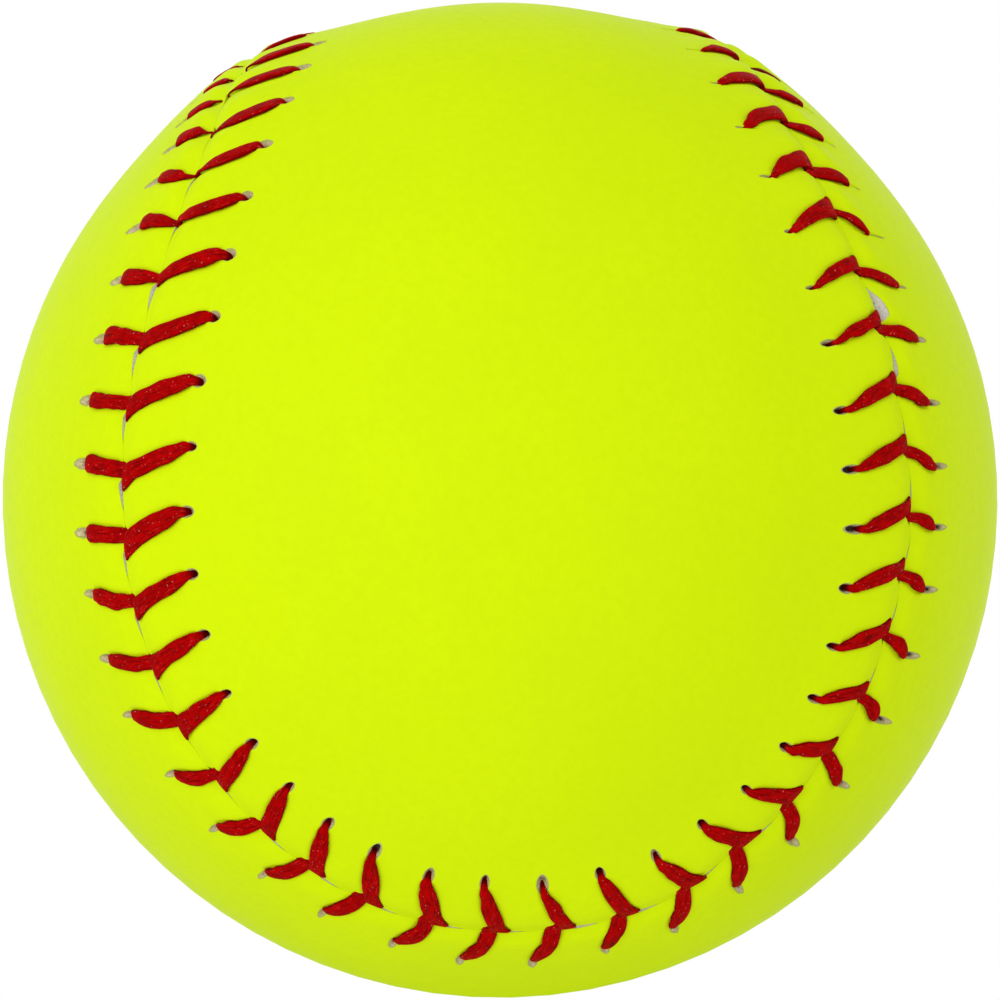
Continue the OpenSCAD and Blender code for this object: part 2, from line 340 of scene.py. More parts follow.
def by_stitch(seen, unseen, spread):
    """A value for each stitch: as seen in the photograph, and about the unseen value elsewhere."""
    places = np.array([min(seen) - unseen_fade, *seen, max(seen) + unseen_fade]) + first_seen
    values = np.interp(stitches, places, [unseen, *seen.values(), unseen])
    return values + rng.normal(0, spread, stitch_count)


def between(values, number):
    """The value at a place between two stitches."""
    return np.interp(number, stitches, values, period=stitch_count)


def eased(values, number):
    """The value between two stitches without a corner at either of them."""
    whole = np.floor(number)
    return between(values, whole + smooth(number - whole, 0, 1))


drift = by_stitch(drifts_seen, 0, 0.04)
stray = by_stitch(strays_seen, 0, 0.12)
hole_ahead = {front: rng.normal(0, 0.03, stitch_count), back: by_stitch(back_holes_seen, 0.2, 0.08)}
leg_ahead = {front: by_stitch(front_legs_seen, 2.4, 0.1), back: by_stitch(back_legs_seen, 1.35, 0.08)}
hole_off = {front: by_stitch(front_holes_off, 7.6, 0.07), back: by_stitch(back_holes_off, 5.9, 0.08)}
end_share = {front: by_stitch(front_ends_seen, 0.9, 0.04), back: by_stitch(back_ends_seen, 0.9, 0.05)}
toe_share = {front: by_stitch(front_toes_seen, 1, 0.04), back: by_stitch(back_toes_seen, 1, 0.05)}
reach_share = {
    front: by_stitch(front_reach_seen, 0.98, 0.01),
    back: by_stitch(back_reach_seen, 0.98, 0.015),
}
wedge_share = np.clip(by_stitch(wedges_seen, 0.5, 0.1), 0, None)
apart = {
    side: np.clip(by_stitch(seen, 0.05, 0.03), 0, None)
    for side, seen in ((front, front_aparts_seen), (back, back_aparts_seen))
}
billow_share = by_stitch(billows_seen, 0.9, 0.1)
width_share = {side: rng.normal(0.97, 0.05, stitch_count) for side in (front, back)}
bow = {front: by_stitch(front_bows_seen, 0, 0.1), back: by_stitch(back_bows_seen, 0.1, 0.1)}
lift = {side: rng.normal(0, 0.015, stitch_count) for side in (front, back)}
pit_share = {front: by_stitch(front_pits_seen, 0.9, 0.07), back: by_stitch(back_pits_seen, 1.0, 0.07)}
pit_painted_shade = {front: by_stitch(front_pit_shades_seen, 1.1, 0.15), back: by_stitch(back_pit_shades_seen, 1.0, 0.12)}
tuck = {front: np.zeros(stitch_count), back: np.clip(by_stitch(back_tucks_seen, 0.4, 0.06), 0, None)}
width_share[front] *= by_stitch(front_widths_seen, 1, 0)
width_share[back] *= by_stitch(back_widths_seen, 1, 0)
lift[front] -= by_stitch(front_sinks_seen, 0, 0)
lift[back] -= by_stitch(back_sinks_seen, 0, 0)


def place_of(number):
    """Length along the seam of a stitch's front hole, also for a number between two stitches."""
    return (stitch_phase_share + number) * pitch + between(drift, number)


even_numbers = np.linspace(0, stitch_count, 8 * stitch_count, endpoint=False)
even_places = place_of(even_numbers)


def number_at(along):
    """The stitch number at a length along the seam."""
    turns = np.floor((along - even_places[0]) / seam_length)
    within = along - turns * seam_length
    full = np.append(even_places, even_places[0] + seam_length)
    return np.interp(within, full, np.append(even_numbers, stitch_count)) + turns * stitch_count


def ball_point(along, across, height, number=None):
    """A point by its length along the seam, its distance from the slit and its height."""
    out, _, inward = seam_axes(along)
    number = number_at(along) if number is None else number
    moved = eased(stray, number) * (1 - smooth(np.abs(across), *stray_band))
    turn = ((across + moved) / ball_r)[..., None]
    return (ball_r + height)[..., None] * (out * np.cos(turn) + inward * np.sin(turn))


# Control rings of a leg, from its hole to the slit. Each holds its share of the way along the seam from the
# hole to where the leg goes into the slit, its share of the hole's distance from the slit, its height, how
# much of the cover's raise is added to that, its width and its thickness.
leg_rings = {
    front: np.array([
        (0, 0.975, -1.3, 0, 0.74, 0.42),
        (0, 0.965, -0.6, 0, 0.78, 0.42),
        (0, 0.95, -0.16, 0.7, 0.84, 0.43),
        (0.02, 0.92, 0.02, 1, 0.98, 0.45),
        (0.08, 0.855, 0.09, 1, 1.26, 0.48),
        (0.21, 0.74, 0.11, 1, 1.52, 0.5),
        (0.37, 0.58, 0.09, 1, 1.64, 0.5),
        (0.55, 0.4, 0.04, 1, 1.66, 0.5),
        (0.73, 0.24, 0.03, 1, 1.68, 0.5),
        (0.87, 0.13, 0.08, 1, 1.76, 0.5),
        (0.96, 0.06, 0.12, 1, 1.92, 0.48),
        (1, 0.025, -0.02, 1, 2.02, 0.46),
        (1.02, 0.015, -0.45, 0.8, 1.9, 0.42),
        (1.06, -0.02, -1.1, 0, 1.2, 0.42),
    ]),
    back: np.array([
        (0, 0.955, -1.3, 0, 0.75, 0.42),
        (0, 0.935, -0.6, 0, 0.8, 0.42),
        (0, 0.905, -0.16, 0.7, 0.92, 0.43),
        (0.02, 0.87, 0.02, 1, 1.16, 0.45),
        (0.08, 0.8, 0.09, 1, 1.46, 0.48),
        (0.22, 0.69, 0.1, 1, 1.62, 0.5),
        (0.42, 0.53, 0.06, 1, 1.66, 0.5),
        (0.64, 0.36, 0.02, 1, 1.62, 0.5),
        (0.83, 0.2, 0, 1, 1.56, 0.5),
        (0.95, 0.07, -0.02, 1, 1.5, 0.48),
        (1, -0.02, -0.08, 1, 1.44, 0.46),
        (1.03, -0.055, -0.32, 0.9, 1.3, 0.44),
        (1.08, -0.05, -0.8, 0.4, 0.95, 0.42),
    ]),
}
# Shares of the way out between which what is said of a leg's end or toe sets in or fades out
leg_end_band = (0.55, 0.8)
leg_toe_band = (0.08, 0.4)
reach_band = (0.2, 0.9)
apart_band = (0, 0.3)
tuck_band = (0.02, 0.25)
thin_least = 0.4
ring_width_spread = 0.03
ring_place_spread = 0.025

# Control rings under the opposite panel, as shares of the way from the slit to the next hole
under_shares = (0.25, 0.6, 0.92)
under_height = -1.55
under_w, under_t = 0.9, 0.42


def toe_width_share(side, share, stitch):
    """How wide a leg is for the width of its toe, as a share of the usual leg's width there."""
    return 1 + (toe_share[side][stitch] - 1) * (1 - smooth(share, *leg_toe_band))


def leg_width_share(side, share, stitch):
    """How wide a leg is at a share of the way out, as a share of the usual leg's width there."""
    end = 1 + (end_share[side][stitch] - 1) * smooth(share, *leg_end_band)
    return width_share[side][stitch] * end * toe_width_share(side, share, stitch)


def leg_reach(side, share, stitch):
    """Share of the hole's distance at which a ring lies, where the thread goes in before its hole."""
    return share * (1 + (reach_share[side][stitch] - 1) * smooth(share, *reach_band))


def leg_place_ahead(side, way, share, stitch):
    """How far ahead of the front hole a leg is, by its shares of the way along and of the way out."""
    hole, leg = hole_ahead[side][stitch], leg_ahead[side][stitch]
    return hole + way * (leg - hole) + bow[side][stitch] * 4 * share * (1 - share)


def leg_ring_places(side):
    """Control rings of all legs on a side: place along, distance from the slit and the last four values."""
    rings = np.repeat(leg_rings[side][None], stitch_count, axis=0)
    way, share = rings[:, :, 0].copy(), rings[:, :, 1].copy()
    stitch = stitches[:, None]
    ahead = leg_place_ahead(side, way, share, stitch) + rng.normal(0, ring_place_spread, share.shape)
    rings[:, :, 2] += lift[side][stitch] * rings[:, :, 3]
    rings[:, :, 4] *= leg_width_share(side, share, stitch) * rng.normal(1, ring_width_spread, share.shape)
    rings[:, :, 5] *= np.clip(toe_width_share(side, share, stitch), thin_least, 1)
    rings[:, :, 0] = place_of(stitch) + ahead
    rings[:, :, 1] = side * (leg_reach(side, share, stitch) * hole_off[side][stitch]
                             + apart[side][stitch] * (1 - smooth(share, *apart_band))
                             - tuck[side][stitch] * (1 - smooth(share, *tuck_band)))
    return rings


# Surface of the cover

def plain_raise(across):
    """Height of the cover beside the seam, without what the stitches do to it."""
    far = np.abs(across)
    spread = np.where(across > 0, lip_spread[front], lip_spread[back])
    return lip_h * np.exp(-((far / spread) ** lip_power)) - valley_h * bell(far, valley_w)


def seam_distance(points):
    """How far over the ball points are from the seam."""
    nearness = unit(points) @ seam_dir(seam_angles[::seam_search_step]).T
    return ball_r * np.arccos(np.clip(nearness.max(-1), -1, 1))


def near_stitches(number):
    """The stitches about each place on the seam, and how far the place is ahead of their front holes."""
    here = np.floor(number).astype(int)
    for stitch in (here - 1, here, here + 1):
        yield stitch % stitch_count, place_of(number) - place_of(stitch)


def leg_middle(side, share, stitch):
    """How far ahead of the front hole a leg's middle is at a share of the way out, and its half width."""
    rings = leg_rings[side][::-1]
    way = np.interp(share, rings[:, 1], rings[:, 0])
    half = np.interp(share, rings[:, 1], rings[:, 4]) * leg_width_share(side, share, stitch) / 2
    return leg_place_ahead(side, way, share, stitch), half


def stitch_marks(side, number, share, far):
    """What the legs do to the cover: a groove under each and a low ridge beside it."""
    marks = np.zeros(np.broadcast(number, share).shape)
    share = share / between(reach_share[side], number)
    on_leg = smooth(far, *mark_slit_band) * (1 - smooth(share, *mark_hole_band))
    for stitch, ahead in near_stitches(number):
        middle, half = leg_middle(side, share, stitch)
        off = np.abs(ahead - middle) * mark_slant_share
        marks -= groove_h * on_leg * (1 - smooth(off, half * groove_in_share, half + groove_out))
        marks += ridge_h * on_leg * bell(off - half - ridge_off, ridge_w)
    return marks


def billow(side, number, share, far):
    """How much higher the cover is between two stitches than beside them."""
    share = share / between(reach_share[side], number)
    slant = 0.5 * (leg_ahead[front].mean() + leg_ahead[back].mean()) / pitch
    wave = 0.5 - 0.5 * np.cos(full_turn * (number - slant * (1 - share)))
    wave = (wave * (1 + billow_low_share) - billow_low_share) * between(billow_share, number - 0.5)
    lower_at_slit = 1 - billow_slit_share * bell(far, billow_slit_w)
    return billow_h * wave * lower_at_slit * bell(far, billow_spread)


def pits(side, number, share, far):
    """Depth of the pits, how bare the leather is in them and their painted shade, at places on a panel."""
    shape = np.broadcast(number, share).shape
    depth, bare, hole_shade, rim = (np.zeros(shape) for _ in range(4))
    for stitch, ahead in near_stitches(number):
        size = pit_share[side][stitch]
        outer = hole_off[side][stitch] + pit_out[side] * size ** 0.5
        inner = hole_off[side][stitch] * reach_share[side][stitch] - pit_in[side]
        out_ways = (2 * far - outer - inner) / (outer - inner)
        half_w = pit_half_w[side] * size * (1 - pit_taper[side] * np.clip(out_ways, -1, pit_taper_most))
        reach = np.hypot((ahead - hole_ahead[side][stitch]) / half_w, out_ways)
        lean = pit_far_share + (1 - pit_far_share) * smooth(-out_ways, *pit_far_band)
        depth = np.maximum(depth, pit_depth * smooth(pit_wall_top - reach, 0, pit_wall_w) * lean)
        bare = np.maximum(bare, 1 - smooth(reach, *pit_bare_band))
        # Painted shade in the pit, darkest in its middle and on the side where the thread goes in
        hole_shade = np.maximum(hole_shade, pit_painted_shade[side][stitch] * smooth(1.0 - reach, 0, pit_shade_w) * lean)
        rim = np.maximum(rim, bell(reach - pit_rim_at, pit_rim_w))
    return depth - pit_rim_h * rim, bare, np.clip(hole_shade, 0, 1)


def slit_edge(side, number):
    """How far an edge of the slit is from its line, where a leg goes in, past a stitch and elsewhere."""
    half = np.full(number.shape, slit_half)
    for stitch, ahead in near_stitches(number):
        push = np.clip(toe_share[-side][stitch] * aside_toe_gain - aside_toe_loss, 0, 1)
        moved = aside[side] * push + tuck[-side][stitch]
        off = np.abs(ahead - leg_ahead[-side][stitch] - aside_late)
        half = half + moved * (1 - smooth(off, 0, aside_half_l[side]))
        if side == back:
            past = ahead - leg_ahead[front][stitch] - wedge_late + wedge_early * wedge_share[stitch]
            wedge = smooth(past, *wedge_start_band) * (1 - smooth(past, *wedge_end_band))
            wedge = wedge_half * wedge_share[stitch] * wedge
            half = half + wedge_most * (1 - np.exp(-wedge / wedge_most))
    return half


def cover_height(side, number, far):
    """Height of the outside of a panel, how bare it is and its painted shade."""
    share = far / between(hole_off[side], number)
    depth, bare, painted_shade = pits(side, number, share, far)
    marks = stitch_marks(side, number, share, far) + billow(side, number, share, far)
    return plain_raise(side * far) + marks - depth, bare, painted_shade


# Cover panels. A panel's marks say how bare the leather is and how much painted shade a place gets, darker
# the deeper it lies. Bare is 1 in a pit and inside, and up to 2 on the wall of the slit.

class PanelMesh:
    """Points, faces and marks of one panel as they are gathered."""

    def __init__(self):
        self.points = []
        self.bare = []
        self.painted_shade = []
        self.faces = []
        self.count = 0

    def add(self, points, bare=0.0, painted_shade=0.0):
        points = points.reshape(-1, 3)
        self.points.append(points)
        for kept, values in ((self.bare, bare), (self.painted_shade, painted_shade)):
            kept.append(np.broadcast_to(np.asarray(values, float).reshape(-1), len(points)))
        first = self.count
        self.count += len(points)
        return first + np.arange(len(points))

    def strip(self, ring, next_ring):
        a, b = ring, np.roll(ring, -1)
        c, d = np.roll(next_ring, -1), next_ring
        self.faces += list(zip(a.tolist(), b.tolist(), c.tolist(), d.tolist()))

    def zipper(self, fine, coarse):
        """Joins a fine ring to a coarse one with a whole number of fine steps to each coarse one."""
        steps = len(fine) // len(coarse)
        for i, here in enumerate(coarse.tolist()):
            ahead = int(coarse[(i + 1) % len(coarse)])
            row = [int(fine[(i * steps + j) % len(fine)]) for j in range(steps + 1)]
            half = (steps + 1) // 2
            self.faces += [(row[j], row[j + 1], here) for j in range(half)]
            self.faces += [(row[half], ahead, here)]
            self.faces += [(row[j], row[j + 1], ahead) for j in range(half, steps)]


def rings_across(side):
    """Distances of a panel's rings from the edge of the slit."""
    usual_off = hole_off[side].mean()
    fine_start = usual_off - fine_in_share * pit_in[side]
    fine_end = usual_off + fine_out_share * pit_out[side]
    middle = np.linspace(middle_start, fine_start, middle_count[side], endpoint=False)
    fine = np.arange(fine_start, fine_end, fine_step[side])
    return np.concatenate([edge_rings, middle, fine, fine_end + np.array(outer_rings)])


def ring_off(side, place, number):
    """Distance from the slit of a ring, which follows the holes in and out."""
    return place * between(hole_off[side], number) / hole_off[side].mean()


def ring_points(side, place, height, number):
    height = np.broadcast_to(height, number.shape)
    return ball_point(place_of(number), side * ring_off(side, place, number), height, number)


def add_stitched_rings(mesh, side, number, opened):
    """Rings of the outside from the edge of the slit to past the holes."""
    found = []
    for place in rings_across(side):
        far = ring_off(side, place, number) + opened * (1 - smooth(place, 0, opened_reach))
        height, bare, painted_shade = cover_height(side, number, far)
        height = height - edge_round * np.exp(-place / edge_round_w)
        found.append(mesh.add(ball_point(place_of(number), side * far, height, number), bare, painted_shade))
    return found


def add_slit_wall(mesh, side, number, opened):
    """Rings down the wall of the slit, which leans to its middle and so shows where the slit is wide."""
    edge_height = cover_height(side, number, opened)[0] - edge_round
    room_height = cover_room_h - cover_t
    wide_open = smooth(opened, *wide_open_band)
    found = []
    for drop_share, lean_share, bare in wall_rings:
        height = edge_height + (room_height - edge_height) * drop_share
        far = opened + (slit_half - opened) * lean_share
        points = ball_point(place_of(number), side * far, height, number)
        # The wall gets more painted shade the further down it lies
        found.append(mesh.add(points, wall_bare * np.maximum(bare, wide_open), wall_painted_shade * drop_share))
    return found


def slerp(a, b, share):
    whole = np.arccos(np.clip((a * b).sum(-1, keepdims=True), -1, 1))
    return (a * np.sin((1 - share) * whole) + b * np.sin(share * whole)) / np.sin(whole)


def add_field(mesh, side, ring, last_points, height_of):
    """Fills the middle of a panel in rows from its last ring to the line along its middle."""
    count = len(ring)
    tip = count * lobe_tip_eighth[side] // 8
    steps = np.arange(count)
    from_tip = np.minimum((steps - tip) % count, (tip - steps) % count)
    row = np.clip(from_tip, count // field_fan, count // 2 - count // field_fan)
    start = unit(last_points)
    goal = unit(start[(tip + row) % count] + start[(tip - row) % count])
    last = ring
    for column in range(1, field_columns):
        points = slerp(start, goal, column / field_columns)
        here = mesh.add(points * (ball_r + height_of(points))[:, None])
        mesh.strip(last, here)
        last = here
    rows, first_of_row = np.unique(row, return_index=True)
    middle = goal[first_of_row]
    spine = mesh.add(middle * (ball_r + height_of(middle))[:, None])[row - rows[0]]
    for here, ahead in zip(steps, np.roll(steps, -1)):
        corners = (last[here], last[ahead], spine[ahead], spine[here])
        mesh.faces.append(tuple(int(c) for c in dict.fromkeys(corners)))


def add_outside(mesh, side, last, numbers):
    """The outside of a panel past its last stitched ring."""
    points = []
    for step, number in zip(past_outer_rings, numbers):
        place = rings_across(side)[-1] + step
        height = plain_raise(side * ring_off(side, place, number))
        points.append(ring_points(side, place, height, number))
    middle_ring, coarse_ring = (mesh.add(ring) for ring in points)
    mesh.zipper(last, middle_ring)
    mesh.zipper(middle_ring, coarse_ring)
    add_field(mesh, side, coarse_ring, points[1], lambda at: plain_raise(side * seam_distance(at)))


def add_inside(mesh, side, last, numbers):
    """The inside of a panel, with the room for the thread."""
    middle_number, coarse_number = numbers
    room_height = cover_room_h - cover_t
    first_place, next_place = inner_rings
    # The inside is bare leather with the full painted shade
    inner_middle = mesh.add(ring_points(side, first_place, room_height, middle_number), 1, 1)
    places = ((next_place, room_height), (room_end, room_height), (room_end + room_fade, -cover_t))
    points = [ring_points(side, place, height, coarse_number) for place, height in places]
    rings = [mesh.add(ring, 1, 1) for ring in points]
    mesh.zipper(last, inner_middle)
    mesh.zipper(inner_middle, rings[0])
    mesh.strip(rings[0], rings[1])
    mesh.strip(rings[1], rings[2])
    add_field(mesh, side, rings[2], points[2], lambda at: np.full(len(at), -cover_t))


def panel_mesh(side):
    mesh = PanelMesh()
    steps = np.arange(stitch_count * stations_per_stitch) / stations_per_stitch
    number = steps - station_crowding * np.sin(full_turn * steps)
    opened = slit_edge(side, number)
    outside = add_stitched_rings(mesh, side, number, opened)
    chain = outside[::-1] + add_slit_wall(mesh, side, number, opened)
    for ring, next_ring in zip(chain[:-1], chain[1:]):
        mesh.strip(ring, next_ring)
    numbers = number[::middle_step], number[::coarse_step]
    add_outside(mesh, side, chain[0], numbers)
    add_inside(mesh, side, chain[-1], numbers)
    return mesh


def add_object(name, data):
    made = bpy.data.objects.new(name, data)
    scene.collection.objects.link(made)
    return made


def face_outwards(piece):
    bpy.context.view_layer.objects.active = piece
    piece.select_set(True)
    bpy.ops.object.mode_set(mode="EDIT")
    bpy.ops.mesh.select_all(action="SELECT")
    bpy.ops.mesh.normals_make_consistent(inside=False)
    bpy.ops.object.mode_set(mode="OBJECT")
    piece.select_set(False)


def make_object(name, points, faces, marks, material, replaced):
    """A smooth mesh with its marks as point attributes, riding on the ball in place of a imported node."""
    data = bpy.data.meshes.new(name)
    data.from_pydata((points * mm).tolist(), [], faces)
    data.validate()
    for mark_name, values in marks.items():
        kind, field = ("FLOAT_VECTOR", "vector") if values.ndim == 2 else ("FLOAT", "value")
        data.attributes.new(mark_name, kind, "POINT").data.foreach_set(field, values.ravel())
    data.polygons.foreach_set("use_smooth", np.ones(len(data.polygons), bool))
    piece = add_object(name, data)
    face_outwards(piece)
    data.materials.append(material)
    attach(piece, "root")
    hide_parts(replaced)


# Thread. Its section is a flattened round of a few plies, with ragged edges.

thread_sides = 16
leg_steps = 4
hidden_steps = 2
section_power = 0.62
ply_count = 5
ply_share = 0.03
ply_turn = 0.12
edge_ragged = 0.04
heading_rounds = 8
section_rounds = 2
# Nearer to the slit than these two distances, a leg's flat section turns to lie along the slit
along_slit_band = (0.3, 1.7)
# Below these heights the thread, pinched in its hole, gets painted shade, the darker the lower it lies
sunk_shade_band = (-0.3, 0.1)


def curve_through(rings, steps):
    """Smooth curve through control rings, with its own number of steps after each ring."""
    padded = np.concatenate([rings[:1], rings, rings[-1:]])
    found = []
    for i in range(len(rings) - 1):
        before, here, ahead, after = padded[i:i + 4]
        t = (np.arange(steps[i]) / steps[i])[:, None]
        found.append(0.5 * (
            2 * here + (ahead - before) * t
            + (2 * before - 5 * here + 4 * ahead - after) * t ** 2
            + (3 * here - before - 3 * ahead + after) * t ** 3
        ))
    found.append(rings[-1:])
    return np.concatenate(found)


def run_rings(first_side):
    """A needle's run in rings: place along and across, height, width, thickness, height over the raise."""
    legs = {side: leg_ring_places(side) for side in (front, back)}
    control, steps = [], []
    for i in range(stitch_count):
        side = first_side if i % 2 == 0 else -first_side
        leg = legs[side][i]
        control.append(leg)
        steps += [leg_steps] * len(leg)
        if i + 1 < stitch_count:
            goal = legs[-side][i + 1][0]
            share = np.array(under_shares)[:, None]
            run = leg[-1] + (goal - leg[-1]) * share
            run[:, 2:] = (under_height, 0, under_w, under_t)
            control.append(run)
            steps[-1] = hidden_steps
            steps += [hidden_steps] * len(run)
    control = np.concatenate(control)
    raised = control[:, 2] + control[:, 3] * plain_raise(control[:, 1])
    control = np.column_stack([control[:, 0], control[:, 1], raised, control[:, 4:6], control[:, 2]])
    return curve_through(control, steps)


def smoothed(rows, rounds):
    rows = rows.copy()
    for _ in range(rounds):
        rows[1:-1] = (rows[:-2] + 2 * rows[1:-1] + rows[2:]) / 4
    return rows


def section_axes(rings, middles):
    """Axes along the width and the thickness of the thread at each of its rings."""
    _, forward, inward = seam_axes(rings[:, 0])
    heading = smoothed(np.gradient(rings[:, :2], axis=0), heading_rounds)
    wide = unit(forward * -heading[:, 1:2] + inward * heading[:, 0:1])
    near_slit = 1 - smooth(np.abs(rings[:, 1:2]), *along_slit_band)
    along_slit = forward * np.sign((wide * forward).sum(-1, keepdims=True))
    wide = unit(wide * (1 - near_slit) + along_slit * near_slit)
    for i in range(1, len(wide)):
        if (wide[i] * wide[i - 1]).sum() < 0:
            wide[i] = -wide[i]
    wide = unit(smoothed(wide, section_rounds))
    return wide, unit(np.cross(unit(np.gradient(middles, axis=0)), wide))


def section_places(rings, length):
    """Places round the thread's section at each of its rings, along its width and its thickness."""
    angle = full_turn * np.arange(thread_sides) / thread_sides
    ply = 1 + ply_share * np.cos(ply_count * angle[None] + ply_turn * full_turn * length[:, None])
    x = np.sign(np.cos(angle)) * np.abs(np.cos(angle)) ** section_power * ply
    y = np.sign(np.sin(angle)) * np.abs(np.sin(angle)) ** section_power * ply
    half_w, half_t = rings[:, 3:4] / 2, rings[:, 4:5] / 2
    ragged = smoothed(rng.normal(0, edge_ragged, (len(rings), 2)), section_rounds)
    x = x + np.where(x < 0, -ragged[:, :1], ragged[:, 1:]) * np.abs(x) / half_w
    return x * half_w, y * half_t


def tube_faces(count):
    index = np.arange(count * thread_sides).reshape(count, thread_sides)
    a, b = index[:-1], np.roll(index, -1, axis=1)[:-1]
    c, d = np.roll(index, -1, axis=1)[1:], index[1:]
    faces = np.stack([a, b, c, d], axis=-1).reshape(-1, 4).tolist()
    return faces + [index[0][::-1].tolist(), index[-1].tolist()]


def thread_mesh(first_side):
    rings = run_rings(first_side)
    middles = ball_point(rings[:, 0], rings[:, 1], rings[:, 2])
    wide, thick = section_axes(rings, middles)
    length = np.concatenate([[0], np.cumsum(np.linalg.norm(np.diff(middles, axis=0), axis=1))])
    x, y = section_places(rings, length)
    points = middles[:, None] + wide[:, None] * x[..., None] + thick[:, None] * y[..., None]
    strand = np.stack([x, y, np.repeat(length[:, None], thread_sides, 1)], axis=-1)
    # Painted shade where the thread sinks below the cover into a hole and under it
    sunk_shade = np.repeat(1 - smooth(rings[:, 5], *sunk_shade_band), thread_sides)
    return points.reshape(-1, 3), tube_faces(len(rings)), {"strand": strand.reshape(-1, 3), "sunk_shade": sunk_shade}


# Nodes of the materials

# Bands that split a noise softly and widely
soft_band = (0.35, 0.65)
wide_band = (0.3, 0.7)


def new_material(name):
    material = bpy.data.materials.new(name)
    material.use_nodes = True
    tree = material.node_tree
    return material, tree, tree.nodes["Principled BSDF"]


def feed(tree, node, name, value):
    """Gives a node's input, by its name or its place, a value or the output that makes it."""
    socket = node.inputs[name]
    if isinstance(value, bpy.types.NodeSocket):
        tree.links.new(value, socket)
    else:
        socket.default_value = value


def add_node(tree, kind, settings=None, places=(), **values):
    """A node with its settings and with what its inputs take, by their places or their names."""
    node = tree.nodes.new(kind)
    for name, value in (settings or {}).items():
        setattr(node, name, value)
    for place, value in enumerate(places):
        feed(tree, node, place, value)
    for name, value in values.items():
        feed(tree, node, name.replace("_", " "), value)
    return node


def object_place(tree):
    return add_node(tree, "ShaderNodeTexCoord").outputs["Object"]


def mark(tree, name, output="Fac"):
    return add_node(tree, "ShaderNodeAttribute", {"attribute_name": name}).outputs[output]


def noise(tree, place, size, detail, roughness=0.5):
    """Noise whose features are about the given size, in the unit of its places."""
    values = {"Vector": place, "Scale": 1 / size, "Detail": detail, "Roughness": roughness}
    return add_node(tree, "ShaderNodeTexNoise", **values).outputs["Fac"]


def maths(tree, operation, a, b=0.0):
    return add_node(tree, "ShaderNodeMath", {"operation": operation}, (a, b)).outputs[0]


def vector_maths(tree, operation, *values):
    return add_node(tree, "ShaderNodeVectorMath", {"operation": operation}, values).outputs["Value"]


def ranged(tree, value, low, high, to_low, to_high):
    """The value's way from low to high, kept inside them, as a way between two other numbers."""
    limits = {"From_Min": low, "From_Max": high, "To_Min": to_low, "To_Max": to_high}
    return add_node(tree, "ShaderNodeMapRange", {"clamp": True}, Value=value, **limits).outputs["Result"]


def blend_colours(tree, share, a, b):
    node = add_node(tree, "ShaderNodeMix", {"data_type": "RGBA"})
    for place, value in ((0, share), (6, a), (7, b)):
        feed(tree, node, place, value)
    return node.outputs[2]


def bump(tree, height, depth, strength, **normal):
    node = add_node(tree, "ShaderNodeBump", Height=height, Distance=depth, Strength=strength, **normal)
    return node.outputs["Normal"]


def centred(tree, value, share):
    """A noise about nothing, at a share of its strength."""
    return maths(tree, "MULTIPLY", maths(tree, "SUBTRACT", value, 0.5), share)


def shade(tree, shader, colour, roughness, normal):
    feed(tree, shader, "Base Color", colour)
    feed(tree, shader, "Roughness", roughness)
    feed(tree, shader, "Normal", normal)


# Leather: yellow with fine pores outside, raw where it is cut, paler in the slit, painted shade in holes
# and at rims

yellow_dark, yellow_light = (0.7, 0.93, 0.004, 1), (0.72, 0.95, 0.003, 1)
yellow_grain, yellow_pore = (0.62, 0.86, 0.003, 1), (0.64, 0.87, 0.003, 1)
raw_dark, raw_light = (0.5, 0.43, 0.22, 1), (0.93, 0.79, 0.5, 1)
wall_dark, wall_light = (0.58, 0.56, 0.45, 1), (0.84, 0.82, 0.72, 1)
# Painted shade deep in a hole, low on the slit's wall and on the inside
hole_shade_colour = (0.035, 0.02, 0.025, 1)
# A painted shade line round the rims of the pits and along the edges of the slit
painted_rim_shade = (0.1, 0.11, 0.02, 1)
broad_mm, fine_mm, pore_mm, patch_mm, fuzz_mm = 14, 0.35, 0.9, 0.45, 0.22
leather_specular = 0.01


def leather_yellow(tree, place, fine):
    broad = noise(tree, place, broad_mm * mm, 2)
    pores = noise(tree, place, pore_mm * mm, 2, 0.6)
    yellow = blend_colours(tree, ranged(tree, broad, *soft_band, 0, 1), yellow_dark, yellow_light)
    yellow = blend_colours(tree, ranged(tree, fine, *wide_band, 0, 0.06), yellow, yellow_grain)
    return blend_colours(tree, ranged(tree, pores, *soft_band, 0.3, 0), yellow, yellow_pore)


def raw_leather(tree, place, fuzz, bare, painted_shade):
    fuzz_share = ranged(tree, fuzz, *wide_band, 0, 1)
    raw = blend_colours(tree, fuzz_share, raw_dark, raw_light)
    wall = blend_colours(tree, fuzz_share, wall_dark, wall_light)
    raw = blend_colours(tree, ranged(tree, bare, 1.1, 1.6, 0, 1), raw, wall)
    # Painted shade, darker the deeper a place lies, broken up in patches
    patches = centred(tree, noise(tree, place, patch_mm * mm, 2), 1.1)
    depth = ranged(tree, maths(tree, "ADD", painted_shade, patches), 0.3, 0.9, 0, 0.95)
    return blend_colours(tree, depth, raw, hole_shade_colour)


